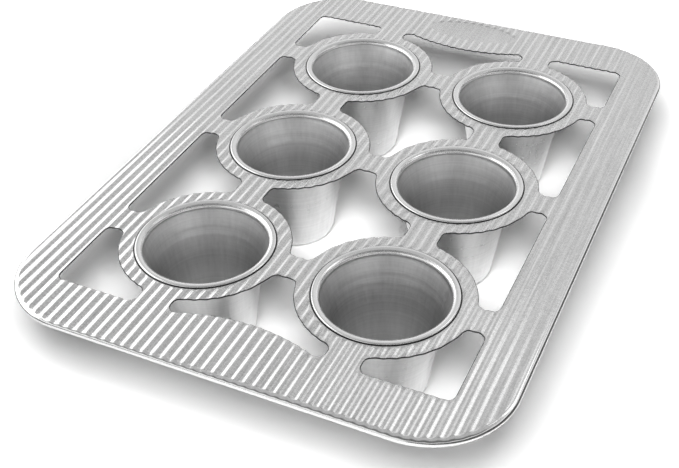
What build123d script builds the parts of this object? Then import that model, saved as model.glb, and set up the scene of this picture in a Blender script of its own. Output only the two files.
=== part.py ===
from build123d import *
import math
import os

# Six-cup popover pan: a ribbed sheet frame with a rolled, wire-stiffened rim
# and six deep tapered cups, each seamed into its own collared hole.
# Units are millimetres. The cups stand on z = 0, +Z is up, the long side runs
# along Y and the blank oval panel is at the +Y end, in the wider end band.

# Overall sizes of the pan
pan_length = 400.0
pan_width = 280.5
pan_height = 66.7
corner_radius = 47.0

# Cup grid
cup_pitch = 107.95
cup_columns = 2
cup_rows = 3

# Frame sheet and its ribs, which run the length of the pan
sheet_thickness = 0.8
rib_pitch = 5.62
rib_height = 0.8
first_crest_x = 1.1

# Rolled rim and the wire inside it
wire_diameter = 3.2
wire_clearance = 0.05
rim_land_width = 1.0
curl_gap = 0.8

# Lands of the frame between and around the cutouts
side_band_width = 28.05
front_band_width = 31.0
back_band_width = 37.0
ring_width = 8.8
column_web_width = 19.5
row_web_width = 18.0
cutout_corner_radius = 4.5
end_tab_depth = 9.0
end_tab_radius = 106.0

# Blank oval panel pressed flat in the ribs of the back band
panel_length = 60.0
panel_width = 25.0
panel_setback = 18.3

# Cup sheet and its tapered body
cup_thickness = 0.7
cup_mouth_radius = 34.2
cup_base_radius = 23.6
cup_base_corner_radius = 8.0
wall_top_radius = 33.0
neck_depth = 2.6
neck_slope_height = 4.0
neck_corner_radius = 2.0

# Seam bead that folds the cup's lip over the collar of its hole
bead_width = 5.1
bead_height = 1.8
bead_outer_corner_radius = 1.6
bead_inner_corner_radius = 2.2
bead_fold_corner_radius = 0.9
seam_clearance = 0.1
collar_height = 0.6
seat_margin = 0.5

# One overrun serves every cut
overrun = 1.0

# Levels and radii that follow from the sizes above
plate_top = pan_height - bead_height
plate_bottom = plate_top - sheet_thickness
bead_outer_radius = cup_mouth_radius + bead_width
ring_radius = bead_outer_radius + ring_width
seat_radius = bead_outer_radius + seat_margin
neck_radius = cup_mouth_radius + cup_thickness
hole_radius = neck_radius + seam_clearance
collar_radius = hole_radius + sheet_thickness
roll_radius = wire_diameter / 2 + wire_clearance + sheet_thickness
rim_land_inset = roll_radius + rim_land_width
panel_centre_y = pan_length / 2 - panel_setback
grid_centre_y = (front_band_width - back_band_width) / 2

ROW_NAMES = ("front", "middle", "back")
COLUMN_NAMES = ("left", "right")


def cup_centres():
    """Names and plan positions of the cups, front row first."""
    places = []
    for row in range(cup_rows):
        for column in range(cup_columns):
            x = (column - (cup_columns - 1) / 2) * cup_pitch
            y = grid_centre_y + (row - (cup_rows - 1) / 2) * cup_pitch
            places.append((f"cup_{ROW_NAMES[row]}_{COLUMN_NAMES[column]}", x, y))
    return places


def outline(inset):
    """The pan's rounded rectangle, drawn in by an inset."""
    return RectangleRounded(
        pan_width - 2 * inset, pan_length - 2 * inset, corner_radius - inset
    )


def area_between(x0, x1, y0, y1):
    """A plain rectangle in plan, given by two limits each way in any order."""
    centre = Pos((x0 + x1) / 2, (y0 + y1) / 2)
    return centre * Rectangle(abs(x1 - x0), abs(y1 - y0))


def at_each_cup(shape):
    """Copies of a plan shape or a solid at every cup centre."""
    return [Pos(x, y) * shape for _, x, y in cup_centres()]


def cutout_rectangles():
    """The straight-sided areas between the bands and webs, before the rings."""
    band_x = pan_width / 2 - side_band_width
    web_inner_x = cup_pitch / 2 - column_web_width / 2
    web_outer_x = cup_pitch / 2 + column_web_width / 2
    areas = []
    for end, band_width in ((-1, front_band_width), (1, back_band_width)):
        band_y = end * (pan_length / 2 - band_width)
        web_middle_y = grid_centre_y + end * row_web_width / 2
        web_lower_y = grid_centre_y + end * (cup_pitch - row_web_width / 2)
        web_upper_y = grid_centre_y + end * (cup_pitch + row_web_width / 2)
        tab_centre_y = band_y + end * (end_tab_radius - end_tab_depth)
        tab = Pos(0, tab_centre_y) * Circle(end_tab_radius)
        middle = area_between(-web_inner_x, web_inner_x, web_upper_y, band_y)
        areas.append(middle - tab)
        areas.append(area_between(-web_inner_x, web_inner_x, web_middle_y, web_lower_y))
        for side in (-1, 1):
            edges = (side * web_outer_x, side * band_x)
            areas.append(area_between(*edges, web_upper_y, band_y))
            areas.append(area_between(*edges, web_middle_y, web_lower_y))
    return areas


def cutouts():
    """The open areas of the frame, clear of the cup rings, with round corners."""
    rings = at_each_cup(Circle(ring_radius))
    shapes = []
    for area in cutout_rectangles():
        for ring in rings:
            area -= ring
        core = offset(area, -cutout_corner_radius, kind=Kind.ARC)
        shapes.append(offset(core, cutout_corner_radius, kind=Kind.ARC))
    return shapes


def rib_wave(top_level):
    """One run of alternating crest and valley arcs along X at a mean level."""
    half_span = pan_width / 2 - rim_land_inset + abs(first_crest_x)
    ribs_each_side = math.ceil(half_span / rib_pitch)
    quarter = rib_pitch / 4
    arcs = []
    for step in range(-2 * ribs_each_side, 2 * ribs_each_side + 1):
        x = first_crest_x + step * rib_pitch / 2
        swing = rib_height / 2 if step % 2 == 0 else -rib_height / 2
        start = (x - quarter, top_level)
        end = (x + quarter, top_level)
        arcs.append(ThreePointArc(start, (x, top_level + swing), end))
    return arcs


def ribbed_sheet():
    """The whole ribbed sheet, as long as the pan, before it is cut to shape."""
    upper = rib_wave(plate_top)
    lower = rib_wave(plate_bottom)
    left = Line(lower[0] @ 0, upper[0] @ 0)
    right = Line(lower[-1] @ 1, upper[-1] @ 1)
    section = make_face(upper + lower + [left, right])
    face = Plane.XZ * section
    return extrude(face, pan_length / 2, both=True)


def level_sheet(shape, bottom, top):
    """A flat plan shape made solid between two levels."""
    return extrude(Pos(0, 0, bottom) * shape, top - bottom)


def rim_roll():
    """The open curl of sheet along the pan's edge, wrapped round the wire."""
    core_radius = roll_radius - sheet_thickness
    curl_end = core_radius - curl_gap
    mouth = Pos(-roll_radius / 2, (curl_end + roll_radius) / 2)
    section = (
        Circle(roll_radius)
        - Circle(core_radius)
        - mouth * Rectangle(roll_radius, roll_radius - curl_end)
    )
    return sweep_round_rim(section)


def sweep_round_rim(section):
    """A section carried round the centre line of the rolled rim."""
    level = plate_top - roll_radius
    bend = corner_radius - roll_radius
    half_x = pan_width / 2 - roll_radius
    half_y = pan_length / 2 - roll_radius
    parts = []
    for side in (-1, 1):
        facing = 90 - side * 90
        long_run = Pos(side * half_x, 0, level) * Rot(0, 0, facing) * (Plane.XZ * section)
        parts.append(extrude(long_run, half_y - bend, both=True, dir=(0, 1, 0)))
        end_run = Pos(0, side * half_y, level) * Rot(0, 0, side * 90) * (Plane.XZ * section)
        parts.append(extrude(end_run, half_x - bend, both=True, dir=(1, 0, 0)))
        for end in (-1, 1):
            corner = Pos(side * (half_x - bend), end * (half_y - bend), level)
            turned = Rot(0, 0, 0) if side == 1 else Rot(0, 0, 180)
            start = corner * turned * Pos(bend, 0, 0) * (Plane.XZ * section)
            axis = Axis(corner.position, (0, 0, 1))
            parts.append(revolve(start, axis, 90 * side * end))
    body = parts[0]
    for piece in parts[1:]:
        body += piece
    return body


def frame_plate():
    """The one-piece frame: ribs, flat lands, seats, collars and rolled rim."""
    sheet = ribbed_sheet()
    ribs_area = outline(rim_land_inset)
    panel = Pos(0, panel_centre_y) * Ellipse(panel_length / 2, panel_width / 2)
    seats = at_each_cup(Circle(seat_radius))
    for flat in seats + [panel]:
        ribs_area -= flat
    openings = cutouts()
    for opening in openings:
        ribs_area -= opening
    low = plate_bottom - rib_height - overrun
    high = plate_top + rib_height + overrun
    plate = sheet & level_sheet(ribs_area, low, high)

    land = outline(roll_radius) - outline(rim_land_inset + sheet_thickness)
    plate += level_sheet(land, plate_bottom, plate_top)
    plate += level_sheet(
        Pos(0, panel_centre_y)
        * Ellipse(panel_length / 2 + sheet_thickness, panel_width / 2 + sheet_thickness),
        plate_bottom,
        plate_top,
    )
    seat = Circle(seat_radius + sheet_thickness) - Circle(hole_radius)
    collar = Circle(collar_radius) - Circle(hole_radius)
    for piece in at_each_cup(level_sheet(seat, plate_bottom, plate_top)):
        plate += piece
    for piece in at_each_cup(level_sheet(collar, plate_bottom, plate_top + collar_height)):
        plate += piece
    plate += rim_roll()
    return plate


def rim_wire():
    """The stiffening wire inside the rolled rim."""
    return sweep_round_rim(Circle(wire_diameter / 2))


def rounded_polygon(corners):
    """A closed flat outline from (x, y, radius) corners."""
    points = [(x, y) for x, y, _ in corners]
    shape = make_face(Polyline(*points, close=True)).face()
    for x, y, radius in corners:
        if radius > 0:
            nearest = min(shape.vertices(), key=lambda v: math.hypot(v.X - x, v.Y - y))
            shape = shape.fillet_2d(radius, [nearest])
    return shape


def cup():
    """One deep tapered cup with a stepped neck and the folded seam bead."""
    wall_angle = math.atan2(wall_top_radius - cup_base_radius, plate_top)
    wall_shift = cup_thickness / math.cos(wall_angle)
    neck_bottom = plate_top - neck_depth
    slope_bottom = neck_bottom - neck_slope_height

    def wall_radius(height):
        return cup_base_radius + height * math.tan(wall_angle)

    inner_base_radius = wall_radius(cup_thickness) - wall_shift
    inner_base_corner = cup_base_corner_radius - cup_thickness
    inner_neck_corner = neck_corner_radius + cup_thickness
    fold_outer = bead_outer_radius - cup_thickness
    fold_top = pan_height - cup_thickness
    corners = [
        (0, 0, 0),
        (cup_base_radius, 0, cup_base_corner_radius),
        (wall_radius(slope_bottom), slope_bottom, inner_neck_corner),
        (neck_radius, neck_bottom, neck_corner_radius),
        (neck_radius, fold_top, bead_fold_corner_radius),
        (fold_outer, fold_top, bead_fold_corner_radius),
        (fold_outer, plate_top, 0),
        (bead_outer_radius, plate_top, 0),
        (bead_outer_radius, pan_height, bead_outer_corner_radius),
        (cup_mouth_radius, pan_height, bead_inner_corner_radius),
        (cup_mouth_radius, neck_bottom, inner_neck_corner),
        (wall_radius(slope_bottom) - wall_shift, slope_bottom, neck_corner_radius),
        (inner_base_radius, cup_thickness, inner_base_corner),
        (0, cup_thickness, 0),
    ]
    section = Plane.XZ * rounded_polygon(corners)
    return revolve(section, Axis.Z, 360)


def write(name, shape):
    """Save one piece under its own name and print a short summary."""
    export_step(shape, f"parts/{name}.step")
    size = shape.bounding_box().size
    solids = len(shape.solids())
    print(f"{name}: {solids} solid, {size.X:.2f} x {size.Y:.2f} x {size.Z:.2f} mm")


def main():
    """Build every piece of the pan and write it to the parts folder."""
    os.makedirs("parts", exist_ok=True)
    write("frame_plate", frame_plate())
    write("rim_wire", rim_wire())
    body = cup()
    for name, x, y in cup_centres():
        write(name, Pos(x, y) * body)


main()
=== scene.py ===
import itertools
import math

import bpy
import numpy as np
from mathutils import Matrix, Vector


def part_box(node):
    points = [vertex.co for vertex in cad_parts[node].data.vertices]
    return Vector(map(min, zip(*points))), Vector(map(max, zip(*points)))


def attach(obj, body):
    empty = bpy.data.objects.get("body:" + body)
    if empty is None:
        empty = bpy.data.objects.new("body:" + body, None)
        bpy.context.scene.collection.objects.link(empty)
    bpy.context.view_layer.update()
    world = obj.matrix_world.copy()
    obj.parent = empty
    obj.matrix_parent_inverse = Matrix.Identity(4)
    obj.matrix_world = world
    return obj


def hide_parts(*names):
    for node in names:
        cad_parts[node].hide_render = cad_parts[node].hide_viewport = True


# Six-cup popover pan in satin aluminised steel, standing on a white floor.
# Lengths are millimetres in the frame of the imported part, and become metres where they reach Blender.
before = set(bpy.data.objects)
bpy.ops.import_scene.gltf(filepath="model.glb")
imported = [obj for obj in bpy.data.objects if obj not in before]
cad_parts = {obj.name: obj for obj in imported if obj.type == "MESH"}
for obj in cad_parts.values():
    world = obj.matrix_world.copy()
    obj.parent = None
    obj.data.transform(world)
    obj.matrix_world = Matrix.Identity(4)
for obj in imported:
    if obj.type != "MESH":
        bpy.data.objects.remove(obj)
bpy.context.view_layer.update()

MM = 0.001


def node_box(name):
    """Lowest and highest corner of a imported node, in millimetres."""
    low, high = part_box(name)
    return np.array(low) / MM, np.array(high) / MM


# Overall sizes and cup places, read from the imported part
CUP_ROWS = ("front", "middle", "back")
CUP_COLUMNS = ("left", "right")
CUP_NODES = [f"cup_{row}_{column}" for row in CUP_ROWS for column in CUP_COLUMNS]
CUP_BOXES = {name: node_box(name) for name in CUP_NODES}
CUP_CENTRES = {name: ((low + high) / 2)[:2] for name, (low, high) in CUP_BOXES.items()}
plate_low, plate_high = node_box("frame_plate")
cup_low, cup_high = CUP_BOXES[CUP_NODES[0]]
pan_width, pan_length = (plate_high - plate_low)[:2]
bead_outer_radius = (cup_high - cup_low)[0] / 2
cup_pitch = CUP_CENTRES["cup_front_right"][0] - CUP_CENTRES["cup_front_left"][0]
grid_y = CUP_CENTRES["cup_middle_left"][1]

# Frame sheet and its ribs, which are shallower near the sides and where the sheet is cut
corner_radius = 47.0
sheet_thickness = 0.8
rib_pitch = 5.62
rib_height = 0.8
first_crest_x = 1.1
full_rib_reach = 116.0
edge_rib_share = 0.45
edge_rib_height = 0.45
edge_rib_fade = 2.0

# Rolled rim, over which the ribs run out
roll_radius = 2.45
roll_gap_height = 0.85
roll_tip_degrees = 6.0
roll_rib_degrees = 60.0
rim_fade = 0.5
rim_rib_share = 0.4

# Lands between and around the cutouts
side_band_width = 28.05
back_band_width = 37.0
ring_width = 8.8
column_web_width = 19.5
row_web_width = 18.0
cutout_corner_radius = 4.5
end_tab_depth = 9.0
end_tab_radius = 106.0

# Blank oval panel in the back band
panel_length = 60.0
panel_width = 24.0
panel_setback = 18.3
panel_fade = 1.2

# Cups, flared at the neck, with the faint rings that deep drawing leaves inside
cup_thickness = 0.7
cup_mouth_radius = 34.6
cup_base_radius = 23.6
cup_base_corner_radius = 8.0
wall_top_radius = 33.0
neck_depth = 2.6
flare_height = 34.0
ripple_height = 0.022
ripple_pitches = (6.1, 9.7)

# Bead that folds each cup's lip over the collar of its hole, and the flat seat under it
crown_height = 1.0
crown_outer_corner_radius = 0.8
crown_inner_corner_radius = 3.0
bead_setback = 0.3
bead_foot_setback = 0.5
bead_foot_height = 0.4
bead_foot_corner_radius = 0.125
# Height of the painted shade line in the crease at each bead's foot
seam_shade_height = 0.3
fold_corner_radius = 0.3
seam_clearance = 0.1
collar_height = 0.6
lip_height = 0.3
seat_margin = 0.5
seat_fade = 1.6

# Levels and radii that follow
plate_top = plate_high[2] - collar_height
crown_top = plate_top + crown_height
crown_radius = bead_outer_radius - bead_setback
fold_radius = crown_radius - cup_thickness
ring_radius = bead_outer_radius + ring_width
neck_radius = cup_mouth_radius + cup_thickness
hole_radius = neck_radius + seam_clearance
collar_radius = hole_radius + sheet_thickness
edge_radius = sheet_thickness / 2
panel_centre = np.array([0.0, pan_length / 2 - panel_setback])

# Where the ribbed field gives way to the rim, the seats and the panel, the last as a scale of its oval
rim_zone = roll_radius + rim_fade
seat_radius = bead_outer_radius + seat_margin
seat_zone = seat_radius + seat_fade
panel_zone = 1 + panel_fade / (panel_width / 2)

# How finely the sheet and the cups are cut up, in millimetres, degrees and steps
STEPS_PER_RIB = 10
ROW_STEP = 1.25
SNAP_SHARE = 0.3
SNAP_ROUNDS = 3
LEAST_SQUARED_SLOPE = 0.25
HALVINGS = 30
LAND_RINGS = 3
ROLL_RINGS = 30
ROLL_INNER_RINGS = 16
SEAT_RINGS = 4
EDGE_RINGS = 6
PANEL_RINGS = 5
CUP_SEGMENTS = 180
FLARE_STEPS = 44
ARC_STEP_DEGREES = 10.0
STRAIGHT_STEP = 2.5
SLOPE_STEP = 0.0001
SMALL = 0.001
TINY = 0.000001

# Which finish a face of the frame sheet or of a cup takes
RIBBED, CUT, ROLLED = 0, 1, 2
BEAD, OUTSIDE, INSIDE = 0, 1, 2

# Grain of the steel: noise scales to the metre, reliefs in metres, and how much each shows
LENGTHWISE_GRAIN = (900.0, 25.0, 900.0)
EVEN_GRAIN = (900.0, 900.0, 900.0)
COARSE_GRAIN = (200.0, 200.0, 200.0)
DRAWN_RINGS = (8.0, 8.0, 900.0)
DRAWN_STREAKS = (420.0, 420.0, 9.0)
SPOT_SCALE = 700.0
SPOT_SHARE = 0.25
CLOUD_SCALE = 22.0
CLOUD_ROUGHNESS = 0.06
GRAIN_ROUGHNESS = 0.05
DRAWN_ROUGHNESS = 0.08
CONTRAST = 2.6
DARKENING = -0.8
# Near black of the painted shade in the crease at each bead's foot
SEAM_SHADE_GREY = 0.03
SHEET_RELIEF = 0.00001
ROLL_RELIEF = 0.000004
DRAWN_RELIEF = 0.00002

# White floor: the camera sees it whiter away from the origin, and the metal sees it dark to either side
floor_reach = 6000.0
floor_greys = (0.84, 0.86)
floor_grain_scale = 60.0
near_floor_white = 1.05
far_floor_white = 4.0
floor_lift_range = (200.0, 800.0)
floor_plain_range = (400.0, 900.0)
floor_side_range = (190.0, 240.0)
floor_side_grey = 0.12

# Studio that the metal mirrors: grey levels by height, the sine of the angle over the horizon
sky_levels = [(0.0, 1.0), (0.24, 1.0), (0.36, 0.86), (0.42, 0.84), (0.52, 0.70), (0.62, 0.52), (1.0, 0.48)]
world_fill = 0.085

# Its dark zone on the camera's side, by how far a direction turns to that side and by height
front_way = (0.43, -0.90)
front_turn_range = (0.15, 0.5)
front_height_range = (0.35, 0.5)
front_grey = 0.17

# Its zones behind and to the right, by bearing, which is X over Y, and by height
least_y = 0.05
back_left_range = (-0.55, -0.36)
back_right_range = (0.0, 0.3)
back_top_range = (0.72, 0.78)
back_grey = 0.74
right_bearing_range = (0.5, 0.7)
right_top_range = (0.16, 0.3)
right_grey = 0.10

# Key lamp, aimed at the origin
key_place = np.array([188.0, -505.0, 625.0])
key_side = 300.0
key_power = 12.2

# Cards that only the metal mirrors: strength and corners
CARDS = {
    "left_card": (1.65, [(-420, -420, 0), (-420, 340, 0), (-420, 195, 440), (-420, -420, 640)]),
    "right_card": (1.6, [(262, 180, 350), (640, 180, 350), (640, 180, 700), (262, 180, 700)]),
    "low_card": (1.5, [(165, 180, 340), (262, 180, 340), (262, 180, 455), (165, 180, 455)]),
}
card_grain_scale = 2.0
card_grain = 0.05

# Camera, fitted to the photograph of 679 by 468 pixels: angles in degrees
camera_azimuth = 25.458
camera_elevation = 37.805
camera_roll = -1.232
camera_distance = 609.4
camera_target = np.array([10.85, -71.69 + grid_y, plate_top])
camera_lens = 58.05
camera_sensor = 36.0
camera_near = 10.0
camera_far = 50000.0


def smooth(share):
    """Zero to one with level ends."""
    share = np.clip(share, 0, 1)
    return share * share * (3 - 2 * share)


def following_pairs(ring):
    """Each entry of a closed ring with the next one."""
    return zip(ring, ring[1:] + ring[:1])


def new_object(name, points, faces, finishes=None):
    """A smooth mesh object from points in millimetres, with a material number for each face."""
    mesh = bpy.data.meshes.new(name)
    mesh.from_pydata((np.asarray(points) * MM).tolist(), [], faces)
    if finishes is not None:
        mesh.polygons.foreach_set("material_index", finishes)
    mesh.polygons.foreach_set("use_smooth", np.ones(len(mesh.polygons), bool))
    mesh.update()
    piece = bpy.data.objects.new(name, mesh)
    bpy.context.scene.collection.objects.link(piece)
    return piece


# The frame sheet, cut out of a fine grid that runs with its ribs
def inside_outline(x, y, inset):
    """Distance inside the pan's rounded rectangle, drawn in by an inset."""
    radius = corner_radius - inset
    past_x = np.abs(x) - (pan_width / 2 - inset - radius)
    past_y = np.abs(y) - (pan_length / 2 - inset - radius)
    outside = np.hypot(np.maximum(past_x, 0), np.maximum(past_y, 0))
    return radius - outside - np.minimum(np.maximum(past_x, past_y), 0)


def clearance(side, x, y):
    """How far a point lies inside one side of a cutout."""
    kind, a, b, reach = side
    if kind == "edge":
        return reach - a * x - b * y
    return np.hypot(x - a, y - b) - reach


def outward(side, x, y):
    """Unit direction that leaves the cutout through one of its sides."""
    kind, a, b, _ = side
    if kind == "edge":
        return np.array([a, b])
    away = np.array([a - x, b - y])
    return away / np.hypot(*away)


def meeting_points(edge, other):
    """Points one corner radius inside a straight edge and inside another side."""
    normal = np.array(edge[1:3])
    along = np.array([-normal[1], normal[0]])
    foot = normal * (edge[3] - cutout_corner_radius)
    if other[0] == "edge":
        slant = along @ np.array(other[1:3])
        if slant == 0:
            return []
        gap = clearance(other, *foot) - cutout_corner_radius
        return [foot + along * gap / slant]
    centre = np.array(other[1:3])
    middle = (centre - foot) @ along
    across = (centre - foot) @ normal
    square = (other[3] + cutout_corner_radius) ** 2 - across**2
    if square < 0:
        return []
    return [foot + along * (middle + turn * math.sqrt(square)) for turn in (-1, 1)]


def corner_discs(sides):
    """Centres of a cutout's round corners, with the two directions that each lies between."""
    discs = []
    for first, second in itertools.combinations(sides, 2):
        if first[0] == "ring":
            first, second = second, first
        if first[0] == "ring":
            continue
        for point in meeting_points(first, second):
            room = min(clearance(side, *point) for side in sides)
            if room > cutout_corner_radius - SMALL:
                discs.append((point, outward(first, *point), outward(second, *point)))
    return discs


def cutout_sides():
    """The sides of the four kinds of cutout, in the quarter of the cup grid where X and Y are positive."""
    column_x = cup_pitch / 2
    end_y = pan_length / 2 - back_band_width - grid_y
    web_inner = ("edge", 1.0, 0.0, column_x - column_web_width / 2)
    web_outer = ("edge", -1.0, 0.0, -column_x - column_web_width / 2)
    band = ("edge", 1.0, 0.0, pan_width / 2 - side_band_width)
    end = ("edge", 0.0, 1.0, end_y)
    middle = ("edge", 0.0, -1.0, -row_web_width / 2)
    lower = ("edge", 0.0, 1.0, cup_pitch - row_web_width / 2)
    upper = ("edge", 0.0, -1.0, -cup_pitch - row_web_width / 2)
    tab = ("ring", 0.0, end_y - end_tab_depth + end_tab_radius, end_tab_radius)
    near = ("ring", column_x, 0.0, ring_radius)
    far = ("ring", column_x, cup_pitch, ring_radius)
    return [
        [band, end, web_outer, upper, far],
        [band, lower, web_outer, middle, near, far],
        [web_inner, end, tab, upper, far],
        [web_inner, lower, middle, near, far],
    ]


CUTOUTS = [(sides, corner_discs(sides)) for sides in cutout_sides()]


def inside_cutouts(x, y):
    """Signed distance inside the nearest cutout, whose corners are round."""
    x, y = np.abs(x), np.abs(y - grid_y)
    deepest = np.full(np.shape(x), -np.inf)
    for sides, discs in CUTOUTS:
        depth = np.min([clearance(side, x, y) for side in sides], axis=0)
        for point, first, second in discs:
            dx, dy = x - point[0], y - point[1]
            turn = first[0] * second[1] - first[1] * second[0]
            past_first = (first[0] * dy - first[1] * dx) * turn > 0
            before_second = (dx * second[1] - dy * second[0]) * turn > 0
            rounded = np.minimum(depth, cutout_corner_radius - np.hypot(dx, dy))
            depth = np.where(past_first & before_second, rounded, depth)
        deepest = np.maximum(deepest, depth)
    return deepest


def panel_scale(x, y):
    """One on the edge of the oval panel's flat, growing outwards."""
    return np.hypot((x - panel_centre[0]) / (panel_length / 2), (y - panel_centre[1]) / (panel_width / 2))


def field_depth(x, y):
    """Positive on the ribbed field, which ends at the rim, the seats, the cutouts and the oval panel."""
    depth = inside_outline(x, y, rim_zone)
    for cx, cy in CUP_CENTRES.values():
        depth = np.minimum(depth, np.hypot(x - cx, y - cy) - seat_zone)
    depth = np.minimum(depth, -inside_cutouts(x, y) - edge_radius)
    return np.minimum(depth, (panel_scale(x, y) - panel_zone) * panel_width / 2)


def field_slope(x, y):
    """Gradient of the field's depth, by small differences."""
    gx = field_depth(x + SLOPE_STEP, y) - field_depth(x - SLOPE_STEP, y)
    gy = field_depth(x, y + SLOPE_STEP) - field_depth(x, y - SLOPE_STEP)
    return gx / (2 * SLOPE_STEP), gy / (2 * SLOPE_STEP)


def rib_wave(x):
    """Height of the ribs over the sheet's mean level; the outermost ribs are shallower."""
    span = pan_width / 2 - full_rib_reach
    fading = smooth((np.abs(x) - full_rib_reach) / span)
    swing = rib_height / 2 * (1 - (1 - edge_rib_share) * fading)
    return swing * np.cos(2 * np.pi * (x - first_crest_x) / rib_pitch)


def sheet_wave(x, y):
    """The ribs' height on the field, lower where the sheet is cut."""
    distance = -inside_cutouts(x, y) - edge_radius
    return rib_wave(x) * (edge_rib_height + (1 - edge_rib_height) * smooth(distance / edge_rib_fade))


def grid_lines(reach, step, start=0.0):
    """Evenly spaced values on both sides of a start, just past a reach."""
    below = math.ceil((reach + start) / step) + 1
    above = math.ceil((reach - start) / step) + 1
    return start + np.arange(-below, above + 1) * step


def snapped_grid():
    """Grid points, those beside an edge of the field moved on to it, and the field's depth there."""
    column_step = rib_pitch / STEPS_PER_RIB
    xs = grid_lines(pan_width / 2, column_step, first_crest_x)
    ys = grid_lines(pan_length / 2, ROW_STEP)
    x, y = (a.ravel() for a in np.meshgrid(xs, ys, indexing="ij"))
    depth = field_depth(x, y)
    near = np.nonzero(np.abs(depth) < SNAP_SHARE * column_step)[0]
    px, py = x[near], y[near]
    for _ in range(SNAP_ROUNDS):
        value = field_depth(px, py)
        gx, gy = field_slope(px, py)
        norm = np.maximum(gx**2 + gy**2, LEAST_SQUARED_SLOPE)
        px = px - value * gx / norm
        py = py - value * gy / norm
    moved = np.hypot(px - x[near], py - y[near]) < column_step / 2
    settled = moved & (np.abs(field_depth(px, py)) < TINY)
    chosen = near[settled]
    x[chosen], y[chosen], depth[chosen] = px[settled], py[settled], 0.0
    return x, y, depth, len(xs), len(ys)


def cut_cells(inside, on_edge, columns, rows):
    """Faces over the field, and for each cut grid edge its inner and outer grid point."""
    index = np.arange(columns * rows).reshape(columns, rows)
    ring = [index[:-1, :-1], index[1:, :-1], index[1:, 1:], index[:-1, 1:]]
    corners = np.stack([part.ravel() for part in ring], 1)
    count = inside[corners].sum(1)
    faces = corners[count == 4].tolist()
    crossings = {}
    for cell in corners[(count > 0) & (count < 4)].tolist():
        face = []
        for here, after in following_pairs(cell):
            if inside[here]:
                face.append(here)
            if inside[here] != inside[after]:
                cut = (here, after) if inside[here] else (after, here)
                if not on_edge[cut[0]]:
                    face.append(crossings.setdefault(cut, columns * rows + len(crossings)))
        if len(face) > 2:
            faces.append(face)
    return faces, list(crossings)


def boundary_loops(faces):
    """Closed loops of the edges that only one face uses, in that face's direction, the longest last."""
    edges = set()
    for face in faces:
        edges.update(following_pairs(face))
    following = {a: b for a, b in edges if (b, a) not in edges}
    loops = []
    while following:
        first, after = following.popitem()
        loop = [first]
        while after != first:
            loop.append(after)
            after = following.pop(after)
        loops.append(loop)
    return sorted(loops, key=len)


def ribbed_field():
    """Plan points, faces and boundary loops of the ribbed field."""
    x, y, depth, columns, rows = snapped_grid()
    faces, crossings = cut_cells(depth >= 0, depth == 0, columns, rows)
    inner, outer = np.array(crossings).T
    run_x, run_y = x[outer] - x[inner], y[outer] - y[inner]
    low, high = np.zeros(len(inner)), np.ones(len(inner))
    for _ in range(HALVINGS):
        share = (low + high) / 2
        here = field_depth(x[inner] + share * run_x, y[inner] + share * run_y)
        low, high = np.where(here > 0, share, low), np.where(here > 0, high, share)
    x = np.concatenate([x, x[inner] + low * run_x])
    y = np.concatenate([y, y[inner] + low * run_y])
    used = np.unique(np.concatenate([np.array(face) for face in faces]))
    place = np.full(len(x), -1)
    place[used] = np.arange(len(used))
    faces = [[int(place[corner]) for corner in face] for face in faces]
    return x[used], y[used], faces, boundary_loops(faces)


class Sheet:
    """Points and faces of the frame sheet, grown from its two skins and the strips that join them."""

    def __init__(self):
        x, y, faces, self.loops = ribbed_field()
        self.plan = np.stack([x, y], 1)
        top = np.column_stack([x, y, plate_top + sheet_wave(x, y)])
        self.points = [top, top - [0, 0, sheet_thickness]]
        self.faces = faces + [[corner + len(x) for corner in reversed(face)] for face in faces]
        self.finishes = {}
        self.total = 2 * len(x)

    def below(self, loop):
        """The bottom skin's points under a loop of the top skin."""
        return [corner + len(self.plan) for corner in loop]

    def ring(self, points):
        """Adds one ring of points and returns its indices."""
        start = self.total
        self.points.append(np.asarray(points))
        self.total += len(points)
        return list(range(start, self.total))

    def bridge(self, first, second):
        """Quads between two rings of equal length."""
        for (a, after_a), (b, after_b) in zip(following_pairs(first), following_pairs(second)):
            self.faces.append([after_a, a, b, after_b])

    def strip(self, loop, rings, bands, finish):
        """Joins the top skin to the bottom one along a loop, by rings of points; some bands get a finish."""
        previous = loop
        for number, current in enumerate([self.ring(points) for points in rings] + [self.below(loop)]):
            start = len(self.faces)
            self.bridge(previous, current)
            if number in bands:
                self.finishes.update((face, finish) for face in range(start, len(self.faces)))
            previous = current


def cutout_rings(plan, away):
    """The full round edge of a cutout."""
    height = plate_top + edge_rib_height * rib_wave(plan[:, 0])
    rings = []
    for angle in np.pi * np.arange(1, EDGE_RINGS + 1) / (EDGE_RINGS + 1):
        out = plan + away * edge_radius * math.sin(angle)
        rings.append(np.column_stack([out, height - edge_radius + edge_radius * math.cos(angle)]))
    return rings


def sheet_rings(places, fades, drop):
    """Rings on one skin of the sheet, with their share of the ribs' height."""
    return [
        np.column_stack([place, plate_top - drop + fade * rib_wave(place[:, 0])])
        for place, fade in zip(places, fades)
    ]


def seat_rings(plan, centre):
    """The flat seat under a bead, with the upturned collar of its hole."""
    away = plan - centre
    away /= np.linalg.norm(away, axis=1)[:, None]
    steps = np.linspace(seat_zone, seat_radius, SEAT_RINGS + 1)[1:]
    places = [centre + away * radius for radius in steps]
    fades = [smooth((radius - seat_radius) / seat_fade) for radius in steps]
    upper = sheet_rings(places, fades, 0)
    lower = sheet_rings(places, fades, sheet_thickness)[::-1]
    collar = []
    for radius, height in (
        (collar_radius, 0),
        (collar_radius, lip_height),
        (hole_radius, lip_height),
        (hole_radius, -sheet_thickness),
    ):
        level = np.full(len(plan), plate_top + height)
        collar.append(np.column_stack([centre + away * radius, level]))
    return upper + collar + lower


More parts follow.
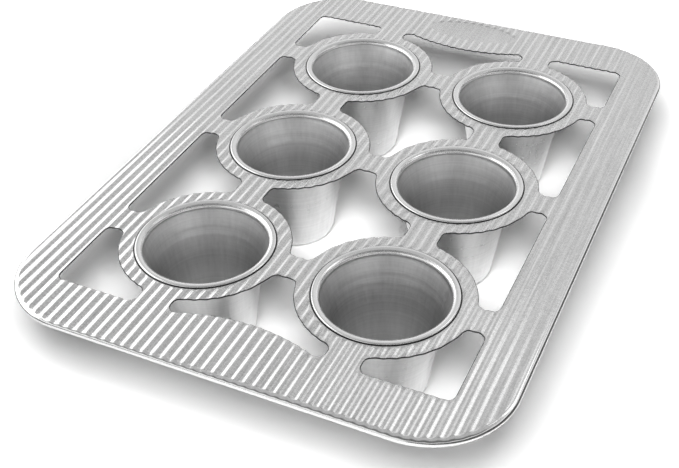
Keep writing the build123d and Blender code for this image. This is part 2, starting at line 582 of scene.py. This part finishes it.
def rim_rings(plan, away):
    """The land beside the rim and the sheet rolled round the wire."""
    land = np.linspace(0, rim_fade, LAND_RINGS + 1)[1:]
    places = [plan + away * step for step in land]
    fades = [1 - (1 - rim_rib_share) * smooth(step / rim_fade) for step in land]
    upper = sheet_rings(places, fades, 0)
    lower = sheet_rings(places, fades, sheet_thickness)[::-1]
    centre = plan + away * rim_fade
    level = plate_top - roll_radius
    inner_radius = roll_radius - sheet_thickness
    tip_radius = (roll_radius + inner_radius) / 2
    arc_start = 90 - ARC_STEP_DEGREES
    arc_end = -180 - math.degrees(math.asin(roll_gap_height / roll_radius))
    tip = arc_end - roll_tip_degrees
    wave = rib_wave(plan[:, 0])

    def arc(radius, start, end, steps, rib_share):
        rings = []
        for degrees in np.linspace(start, end, steps):
            angle = math.radians(degrees)
            share = rib_share * float(smooth(1 - (90 - degrees) / roll_rib_degrees))
            reach = radius + share * wave
            out = centre + away * (reach * math.cos(angle))[:, None]
            rings.append(np.column_stack([out, level + reach * math.sin(angle)]))
        return rings

    outer = arc(roll_radius, arc_start, arc_end, ROLL_RINGS, rim_rib_share)
    edge = arc(tip_radius, tip, tip, 1, 0)
    inner = arc(inner_radius, arc_end, arc_start, ROLL_INNER_RINGS, 0)
    return upper + outer + edge + inner + lower


def fill_panel(sheet, loop):
    """The oval panel, on both skins: the ribs run out into a flat at the height of their valleys."""
    plan = sheet.plan[loop]
    scales = np.linspace(panel_zone, 1, PANEL_RINGS + 1)[1:]
    places = [panel_centre + (plan - panel_centre) * scale / panel_zone for scale in scales]
    fades = [smooth((scale - 1) / (panel_zone - 1)) for scale in scales]
    rises = [np.array([0, 0, (fade - 1) * rib_height / 2]) for fade in fades]
    upper, lower = (
        [sheet.ring(points + rise) for points, rise in zip(sheet_rings(places, fades, drop), rises)]
        for drop in (0, sheet_thickness)
    )
    for first, second in zip([loop] + upper, upper):
        sheet.bridge(first, second)
    for first, second in zip([sheet.below(loop)] + lower, lower):
        sheet.bridge(second, first)
    sheet.faces.append(upper[-1][::-1])
    sheet.faces.append(lower[-1])


def frame_sheet():
    """The whole frame sheet as one closed mesh."""
    sheet = Sheet()
    for loop in sheet.loops:
        plan = sheet.plan[loop]
        gx, gy = field_slope(plan[:, 0], plan[:, 1])
        away = -np.stack([gx, gy], 1) / np.maximum(np.hypot(gx, gy), TINY)[:, None]
        middle = (plan.min(0) + plan.max(0)) / 2
        seats = [c for c in CUP_CENTRES.values() if np.hypot(*(c - middle)) < seat_margin]
        if loop is sheet.loops[-1]:
            rings = rim_rings(plan, away)
            sheet.strip(loop, rings, range(LAND_RINGS, len(rings) - LAND_RINGS), ROLLED)
        elif seats and abs(np.ptp(plan[:, 0]) / 2 - seat_zone) < seat_margin:
            # The flat seat under the bead takes the near-black painted-shade finish
            sheet.strip(loop, seat_rings(plan, seats[0]), (SEAT_RINGS,), CUT)
        elif np.hypot(*(middle - panel_centre)) < seat_margin:
            fill_panel(sheet, loop)
        else:
            # The round edge of a cutout takes the near-black painted-shade finish
            sheet.strip(loop, cutout_rings(plan, away), range(EDGE_RINGS + 1), CUT)
    finishes = [sheet.finishes.get(face, RIBBED) for face in range(len(sheet.faces))]
    return new_object("frame_sheet", np.concatenate(sheet.points), sheet.faces, finishes)


# The cups, each turned from one section
def rounded_path(corners):
    """Points along a closed outline of (r, z, corner radius), with its corners cut up as arcs."""
    path = []
    count = len(corners)
    for i, (x, y, radius) in enumerate(corners):
        here = np.array([x, y])
        before = np.array(corners[i - 1][:2]) - here
        after = np.array(corners[(i + 1) % count][:2]) - here
        before /= np.linalg.norm(before)
        after /= np.linalg.norm(after)
        if radius == 0:
            path.append(here)
            continue
        half = math.acos(np.clip(before @ after, -1, 1)) / 2
        reach = radius / math.tan(half)
        inward = (before + after) / np.linalg.norm(before + after)
        centre = here + inward * radius / math.sin(half)
        start = here + before * reach
        sweep = math.pi - 2 * half
        turn = math.copysign(1, before[0] * after[1] - before[1] * after[0])
        steps = max(2, math.ceil(math.degrees(sweep) / ARC_STEP_DEGREES))
        first = math.atan2(*(start - centre)[::-1])
        for step in range(steps + 1):
            angle = first - turn * sweep * step / steps
            path.append(centre + radius * np.array([math.cos(angle), math.sin(angle)]))
    return path


def divided(path):
    """A path with its long straight stretches cut into short ones."""
    points = []
    for here, after in zip(path, path[1:]):
        steps = max(1, math.ceil(np.linalg.norm(after - here) / STRAIGHT_STEP))
        points.extend(here + (after - here) * step / steps for step in range(steps))
    return points + [path[-1]]


def cup_section():
    """Section of the cup's sheet from its outer centre, up over the bead and down to its inner centre."""
    wall_angle = math.atan2(wall_top_radius - cup_base_radius, plate_top)
    neck_bottom = plate_top - neck_depth
    flare_bottom = neck_bottom - flare_height

    def wall_radius(height):
        return cup_base_radius + height * math.tan(wall_angle)

    def flared(height):
        lift = max(0.0, (height - flare_bottom) / flare_height)
        return wall_radius(height) + (neck_radius - wall_radius(neck_bottom)) * lift**2

    def ripple(height):
        """Highest half way up the flare, and none at its ends."""
        share = (height - flare_bottom) / flare_height
        waves = sum(math.sin(2 * math.pi * height / pitch) for pitch in ripple_pitches)
        return ripple_height * waves * 4 * share * (1 - share)

    levels = [flare_bottom + flare_height * step / FLARE_STEPS for step in range(FLARE_STEPS + 1)]
    outer_flare = [(flared(height), height, 0) for height in levels]
    inner_flare = [(flared(height) - cup_thickness + ripple(height), height, 0) for height in levels[::-1]]
    inner_base_radius = wall_radius(cup_thickness) - cup_thickness / math.cos(wall_angle)
    fold_top = crown_top - cup_thickness
    corners = [
        (0, 0, 0),
        (cup_base_radius, 0, cup_base_corner_radius),
        *outer_flare,
        (neck_radius, fold_top, fold_corner_radius),
        (fold_radius, fold_top, 0),
        (fold_radius, plate_top, 0),
        (crown_radius - bead_foot_setback, plate_top, 0),
        (crown_radius, plate_top + bead_foot_height, bead_foot_corner_radius),
        (crown_radius, crown_top, crown_outer_corner_radius),
        (cup_mouth_radius, crown_top, crown_inner_corner_radius),
        *inner_flare,
        (inner_base_radius, cup_thickness, cup_base_corner_radius - cup_thickness),
        (0, cup_thickness, 0),
    ]
    return divided(rounded_path(corners))


def turned_cup(name, centre):
    """One cup, turned about its own axis, with a single point at each pole."""
    section = cup_section()
    angles = 2 * math.pi * np.arange(CUP_SEGMENTS) / CUP_SEGMENTS
    points = [[*centre, section[0][1]]]
    rings, finishes = [], []
    inside = False
    for radius, height in section[1:-1]:
        start = len(points)
        for angle in angles:
            x = centre[0] + radius * math.cos(angle)
            y = centre[1] + radius * math.sin(angle)
            points.append([x, y, height])
        rings.append(list(range(start, len(points))))
        inside = inside or height > crown_top - SMALL
        on_wall = height < crown_top - crown_inner_corner_radius
        finishes.append((INSIDE if inside else OUTSIDE) if on_wall else BEAD)
    points.append([*centre, section[-1][1]])
    faces = []
    for first, second in zip(rings, rings[1:]):
        for (a, after_a), (b, after_b) in zip(following_pairs(first), following_pairs(second)):
            faces.append([a, after_a, after_b, b])
    faces.extend([b, a, 0] for a, b in following_pairs(rings[0]))
    faces.extend([a, b, len(points) - 1] for a, b in following_pairs(rings[-1]))
    finishes = finishes[1:] + [OUTSIDE, INSIDE]
    return new_object(name, points, faces, np.repeat(finishes, CUP_SEGMENTS))


# Shader nodes
def node(tree, kind, inputs=None, **settings):
    """Adds one shader node, with its settings and its inputs by name or number."""
    made = tree.nodes.new(kind)
    for key, value in settings.items():
        setattr(made, key, value)
    for key, value in (inputs or {}).items():
        if isinstance(value, bpy.types.NodeSocket):
            tree.links.new(value, made.inputs[key])
        else:
            made.inputs[key].default_value = value
    return made


def math_node(tree, operation, *values, clamp=False):
    """The output of one math node."""
    inputs = dict(enumerate(values))
    return node(tree, "ShaderNodeMath", inputs, operation=operation, use_clamp=clamp).outputs[0]


def mix_colour(tree, factor, first, second):
    """The output of one colour mix."""
    inputs = {"Factor": factor, "A": first, "B": second}
    mix = tree.nodes.new("ShaderNodeMix")
    mix.data_type = "RGBA"
    for key, value in inputs.items():
        socket = next(s for s in mix.inputs if s.name == key and s.enabled)
        if isinstance(value, bpy.types.NodeSocket):
            tree.links.new(value, socket)
        else:
            socket.default_value = value
    return next(s for s in mix.outputs if s.enabled)


def grey(value):
    """A neutral colour."""
    return (value, value, value, 1.0)


def even_mean(tree, first, second):
    """Half of each of two values."""
    return math_node(tree, "MULTIPLY_ADD", first, 0.5, math_node(tree, "MULTIPLY", second, 0.5))


def climb(tree, value, reach, kind="SMOOTHSTEP"):
    """Zero below a range, one above it."""
    inputs = {"Value": value, "From Min": reach[0], "From Max": reach[1]}
    return node(tree, "ShaderNodeMapRange", inputs, interpolation_type=kind).outputs[0]


def fall(tree, value, reach):
    """One below a range, zero above it."""
    inputs = {"Value": value, "From Min": reach[0], "From Max": reach[1], "To Min": 1.0, "To Max": 0.0}
    return node(tree, "ShaderNodeMapRange", inputs, interpolation_type="SMOOTHSTEP").outputs[0]


def noise(tree, place, scale=1.0, detail=2.0, roughness=0.5):
    """The value of one noise texture."""
    inputs = {"Vector": place, "Scale": scale, "Detail": detail, "Roughness": roughness}
    return node(tree, "ShaderNodeTexNoise", inputs).outputs["Fac"]


def stretched(tree, place, scale):
    """A place with its own scale along X, Y and Z."""
    return node(tree, "ShaderNodeMapping", {"Vector": place, "Scale": scale}).outputs[0]


def empty_material(name):
    """A material with only its output node, its tree and that node's input."""
    material = bpy.data.materials.new(name)
    material.use_nodes = True
    tree = material.node_tree
    tree.nodes.clear()
    return material, tree, tree.nodes.new("ShaderNodeOutputMaterial").inputs[0]


# Materials of the pan
def metal(tree, output, colour, roughness, height, relief):
    """A metal shader with its colour, roughness and relief."""
    bump = node(tree, "ShaderNodeBump", {"Strength": 1.0, "Distance": relief, "Height": height})
    shader = node(tree, "ShaderNodeBsdfPrincipled", {
        "Base Color": colour,
        "Metallic": 1.0,
        "Roughness": roughness,
        "Normal": bump.outputs[0],
    })
    tree.links.new(shader.outputs[0], output)


def steel(name, low, high, roughness, grain, relief):
    """Satin sheet steel: fine grain, spots and clouds in its colour, roughness and relief."""
    material, tree, output = empty_material(name)
    place = node(tree, "ShaderNodeTexCoord").outputs["Object"]
    lines = noise(tree, stretched(tree, place, grain), detail=4.0, roughness=0.6)
    spots = noise(tree, place, SPOT_SCALE, detail=3.0, roughness=0.7)
    cloud = noise(tree, place, CLOUD_SCALE)
    shade = even_mean(tree, spots, lines)
    spread = math_node(tree, "MULTIPLY_ADD", shade, CONTRAST, DARKENING, clamp=True)
    colour = mix_colour(tree, spread, grey(low), grey(high))
    rough = math_node(tree, "MULTIPLY_ADD", cloud, CLOUD_ROUGHNESS, roughness - CLOUD_ROUGHNESS / 2)
    rough = math_node(tree, "MULTIPLY_ADD", spread, GRAIN_ROUGHNESS, rough)
    metal(tree, output, colour, rough, shade, relief)
    return material


def painted_seam_shade(tree, place):
    """One on the foot of each bead, where the folded sheet meets the frame: the mask of a painted shade in
    that crease.
    """
    parts = node(tree, "ShaderNodeSeparateXYZ", {0: place}).outputs
    grid_start = (grid_y - cup_pitch * len(CUP_ROWS) / 2) * MM
    x = math_node(tree, "SUBTRACT", math_node(tree, "ABSOLUTE", parts[0]), cup_pitch / 2 * MM)
    y = math_node(tree, "MODULO", math_node(tree, "SUBTRACT", parts[1], grid_start), cup_pitch * MM)
    y = math_node(tree, "SUBTRACT", y, cup_pitch / 2 * MM)
    square = math_node(tree, "MULTIPLY_ADD", x, x, math_node(tree, "MULTIPLY", y, y))
    radius = math_node(tree, "SQRT", square)
    outside = math_node(tree, "GREATER_THAN", radius, fold_radius * MM)
    low = math_node(tree, "LESS_THAN", parts[2], (plate_top + seam_shade_height) * MM)
    return math_node(tree, "MULTIPLY", outside, low)


def drawn_steel(name, low, high, roughness):
    """Deep-drawn sheet: faint rings, faint streaks down the wall, and a painted shade line at the bead's
    foot.
    """
    material, tree, output = empty_material(name)
    place = node(tree, "ShaderNodeTexCoord").outputs["Object"]
    rings = noise(tree, stretched(tree, place, DRAWN_RINGS), detail=3.0, roughness=0.6)
    streaks = noise(tree, stretched(tree, place, DRAWN_STREAKS), detail=3.0, roughness=0.6)
    spots = noise(tree, place, SPOT_SCALE, detail=3.0, roughness=0.7)
    shade = even_mean(tree, rings, streaks)
    spread = math_node(tree, "MULTIPLY_ADD", shade, CONTRAST, DARKENING, clamp=True)
    colour = mix_colour(tree, spread, grey(low), grey(high))
    # Painted shade: the crease at each bead's foot is darkened in the colour
    colour = mix_colour(tree, painted_seam_shade(tree, place), colour, grey(SEAM_SHADE_GREY))
    rough = math_node(tree, "MULTIPLY_ADD", spread, DRAWN_ROUGHNESS, roughness - DRAWN_ROUGHNESS / 2)
    height = math_node(tree, "MULTIPLY_ADD", spots, SPOT_SHARE, shade)
    metal(tree, output, colour, rough, height, DRAWN_RELIEF)
    return material


# The pan's pieces, with their finishes in the order of the face numbers
plate = frame_sheet()
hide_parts("frame_plate")
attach(plate, "root")
plate_finishes = [
    steel("ribbed_sheet", low=0.58, high=0.95, roughness=0.245, grain=LENGTHWISE_GRAIN, relief=SHEET_RELIEF),
    # Cut edges and the flat seat under each bead are painted near black: painted shade on those faces
    steel("cut_edge_painted_shade", low=0.03, high=0.07, roughness=0.35, grain=EVEN_GRAIN, relief=SHEET_RELIEF),
    # The rolled rim is the same sheet, painted lighter than the ribbed field for a whiter band: painted
    # light
    steel("rolled_rim_painted_light", low=0.76, high=0.96, roughness=0.12, grain=EVEN_GRAIN, relief=ROLL_RELIEF),
]
for finish in plate_finishes:
    plate.data.materials.append(finish)

# One drawn sheet in three copies: the bead is painted lighter and the outer wall darker than the inside, as
# painted light and painted shade
cup_finishes = [
    drawn_steel("folded_bead_painted_light", low=0.88, high=0.97, roughness=0.24),
    drawn_steel("drawn_cup_outside_painted_shade", low=0.66, high=0.80, roughness=0.3),
    drawn_steel("drawn_cup_inside", low=0.70, high=0.88, roughness=0.4),
]
for cup_name, cup_centre in CUP_CENTRES.items():
    cup = turned_cup(f"turned_{cup_name}", cup_centre)
    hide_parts(cup_name)
    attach(cup, "root")
    for finish in cup_finishes:
        cup.data.materials.append(finish)

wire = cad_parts["rim_wire"]
finish = steel("rim_wire_steel", low=0.5, high=0.66, roughness=0.3, grain=COARSE_GRAIN, relief=SHEET_RELIEF)
wire.data.materials.clear()
wire.data.materials.append(finish)


# Floor, light and camera
def floor_material():
    """White floor with the pan's shadow, which runs out into plain white for the camera."""
    material, tree, output = empty_material("white_floor")
    path = node(tree, "ShaderNodeLightPath").outputs
    place = node(tree, "ShaderNodeTexCoord").outputs["Object"]
    distance = node(tree, "ShaderNodeVectorMath", {0: place}, operation="LENGTH").outputs["Value"]
    across = math_node(tree, "ABSOLUTE", node(tree, "ShaderNodeSeparateXYZ", {0: place}).outputs[0])
    lift = climb(tree, distance, np.array(floor_lift_range) * MM, "LINEAR")
    aside = climb(tree, across, np.array(floor_side_range) * MM, "LINEAR")
    plain_share = climb(tree, distance, np.array(floor_plain_range) * MM)
    white = mix_colour(tree, noise(tree, place, floor_grain_scale), *map(grey, floor_greys))
    shown = mix_colour(tree, lift, grey(near_floor_white), grey(far_floor_white))
    mirrored = mix_colour(tree, aside, grey(near_floor_white), grey(floor_side_grey))
    seen = mix_colour(tree, path["Is Camera Ray"], white, shown)
    seen = mix_colour(tree, path["Is Glossy Ray"], seen, mirrored)
    lit = node(tree, "ShaderNodeBsdfDiffuse", {"Color": seen}).outputs[0]
    plain = node(tree, "ShaderNodeEmission", {"Color": grey(1.0), "Strength": 1.0}).outputs[0]
    share = math_node(tree, "MULTIPLY", plain_share, path["Is Camera Ray"])
    shader = node(tree, "ShaderNodeMixShader", {0: share, 1: lit, 2: plain})
    tree.links.new(shader.outputs[0], output)
    return material


corners = [(-1, -1, 0), (1, -1, 0), (1, 1, 0), (-1, 1, 0)]
floor = new_object("floor", np.array(corners) * floor_reach, [[0, 1, 2, 3]])
floor.data.materials.append(floor_material())


def sky_ramp(tree, height):
    """The studio's grey at a height."""
    ramp = node(tree, "ShaderNodeValToRGB", {0: height})
    stops = ramp.color_ramp.elements
    for stop, (position, value) in zip(stops, (sky_levels[0], sky_levels[-1])):
        stop.position, stop.color = position, grey(value)
    for position, value in sky_levels[1:-1]:
        stops.new(position).color = grey(value)
    return ramp.outputs[0]


def studio_world():
    """White to the camera, a studio with a bright horizon to the metal, and plain to the rest."""
    world = bpy.data.worlds.new("studio")
    bpy.context.scene.world = world
    world.use_nodes = True
    tree = world.node_tree
    tree.nodes.clear()
    output = tree.nodes.new("ShaderNodeOutputWorld")
    way = node(tree, "ShaderNodeTexCoord").outputs["Generated"]
    x, y, height = node(tree, "ShaderNodeSeparateXYZ", {0: way}).outputs
    bearing = math_node(tree, "DIVIDE", x, math_node(tree, "MAXIMUM", y, least_y))
    turned = math_node(tree, "MULTIPLY_ADD", x, front_way[0], math_node(tree, "MULTIPLY", y, front_way[1]))
    back = [
        climb(tree, bearing, back_left_range),
        fall(tree, bearing, back_right_range),
        fall(tree, height, back_top_range),
    ]
    right = [climb(tree, bearing, right_bearing_range), fall(tree, height, right_top_range)]
    front = [climb(tree, turned, front_turn_range), climb(tree, height, front_height_range)]
    mirrored = sky_ramp(tree, height)
    for zone, level in ((back, back_grey), (right, right_grey), (front, front_grey)):
        share = zone[0]
        for part in zone[1:]:
            share = math_node(tree, "MULTIPLY", share, part)
        mirrored = mix_colour(tree, share, mirrored, grey(level))
    path = node(tree, "ShaderNodeLightPath").outputs
    shown = mix_colour(tree, path["Is Glossy Ray"], grey(world_fill), mirrored)
    shown = mix_colour(tree, path["Is Camera Ray"], shown, grey(1.0))
    sky = node(tree, "ShaderNodeBackground", {"Color": shown, "Strength": 1.0})
    tree.links.new(sky.outputs[0], output.inputs[0])


studio_world()


def key_lamp():
    """A square lamp, as strong near as far, that lights the floor but isn't mirrored in the metal."""
    lamp = bpy.data.lights.new("key", "AREA")
    lamp.shape = "SQUARE"
    lamp.size = key_side * MM
    lamp.energy = key_power
    made = bpy.data.objects.new("key", lamp)
    bpy.context.scene.collection.objects.link(made)
    made.location = key_place * MM
    made.rotation_euler = Vector(-key_place).to_track_quat("-Z", "Y").to_euler()
    made.visible_glossy = False
    lamp.use_nodes = True
    tree = lamp.node_tree
    even = node(tree, "ShaderNodeLightFalloff", {"Strength": 1.0}).outputs["Constant"]
    glow = next(n for n in tree.nodes if n.type == "EMISSION")
    tree.links.new(even, glow.inputs["Strength"])


key_lamp()


def glow_card(name, strength, corners):
    """A white card that only the metal mirrors."""
    card = new_object(name, corners, [[0, 1, 2, 3]])
    material, tree, output = empty_material(name)
    place = node(tree, "ShaderNodeTexCoord").outputs["Generated"]
    glow = math_node(tree, "MULTIPLY_ADD", noise(tree, place, card_grain_scale), card_grain, strength)
    shader = node(tree, "ShaderNodeEmission", {"Color": grey(1.0), "Strength": glow})
    tree.links.new(shader.outputs[0], output)
    card.data.materials.append(material)
    card.visible_camera = False
    card.visible_diffuse = False
    card.visible_shadow = False


for card_name, (card_strength, card_corners) in CARDS.items():
    glow_card(card_name, card_strength, card_corners)


def photo_camera():
    """The photograph's camera."""
    turn, rise, roll = (math.radians(a) for a in (camera_azimuth, camera_elevation, camera_roll))
    back = np.array([math.sin(turn) * math.cos(rise), -math.cos(turn) * math.cos(rise), math.sin(rise)])
    side = np.array([math.cos(turn), math.sin(turn), 0.0])
    above = np.cross(back, side)
    right = math.cos(roll) * side + math.sin(roll) * above
    up = math.cos(roll) * above - math.sin(roll) * side
    data = bpy.data.cameras.new("photo_camera")
    data.lens = camera_lens
    data.sensor_width = camera_sensor
    data.clip_start, data.clip_end = camera_near * MM, camera_far * MM
    made = bpy.data.objects.new("photo_camera", data)
    bpy.context.scene.collection.objects.link(made)
    matrix = np.eye(4)
    matrix[:3, 0], matrix[:3, 1], matrix[:3, 2] = right, up, back
    matrix[:3, 3] = (camera_target + camera_distance * back) * MM
    made.matrix_world = Matrix(matrix)
    bpy.context.scene.camera = made


photo_camera()
bpy.context.scene.view_settings.view_transform = "Standard"
